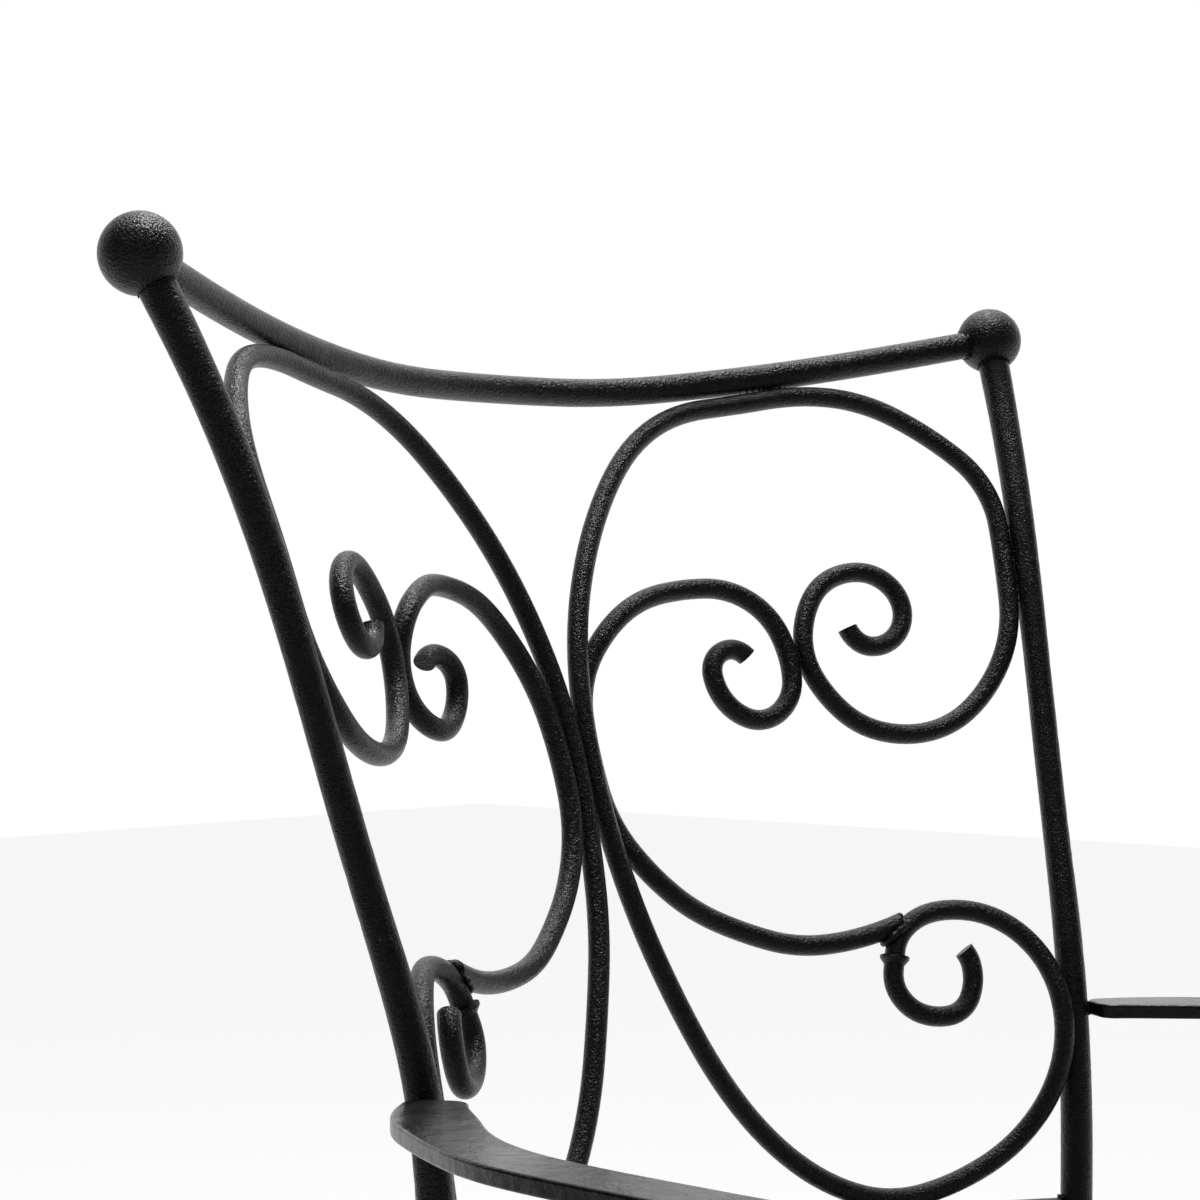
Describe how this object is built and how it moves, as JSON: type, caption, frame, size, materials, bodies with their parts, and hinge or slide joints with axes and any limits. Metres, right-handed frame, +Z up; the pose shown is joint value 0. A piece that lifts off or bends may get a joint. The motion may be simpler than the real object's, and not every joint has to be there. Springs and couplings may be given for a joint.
{
  "type": "garden armchair",
  "caption": "Open garden armchair of bent round bar, with a bowed back filled with mirrored scrolls, flat curved arms and a dished slat seat.",
  "frame": {"origin": "on the floor, below the middle of the chair's box", "axes": "+Z up, the seat faces -Y, and the sitter's left is at +X"},
  "size_m": [0.6862, 0.6097, 1.0025],
  "materials": {
    "black_coat": "satin"
  },
  "bodies": {
    "root": {"post_right": "black_coat", "ball_right": "black_coat", "post_left": "black_coat", "ball_left": "black_coat", "top_rail": "black_coat", "lower_back_rail": "black_coat", "scroll_large_right": "black_coat", "scroll_small_right": "black_coat", "scroll_curl_right": "black_coat", "scroll_collar_right": "black_coat", "scroll_large_left": "black_coat", "scroll_small_left": "black_coat", "scroll_curl_left": "black_coat", "scroll_collar_left": "black_coat", "arm_right": "black_coat", "front_leg_right": "black_coat", "arm_left": "black_coat", "front_leg_left": "black_coat", "seat_rail_front": "black_coat", "seat_rail_rear": "black_coat", "seat_rail_right": "black_coat", "seat_rail_left": "black_coat", "seat_slat_1": "black_coat", "seat_slat_2": "black_coat", "seat_slat_3": "black_coat", "seat_slat_4": "black_coat", "seat_slat_5": "black_coat", "seat_slat_6": "black_coat", "seat_slat_7": "black_coat", "seat_slat_8": "black_coat", "seat_slat_9": "black_coat", "seat_bearer": "black_coat", "stretcher_right": "black_coat", "stretcher_left": "black_coat", "stretcher_middle": "black_coat", "foot_front_right": "black_coat", "foot_front_left": "black_coat", "foot_rear_right": "black_coat", "foot_rear_left": "black_coat"}
  },
  "joints": []
}
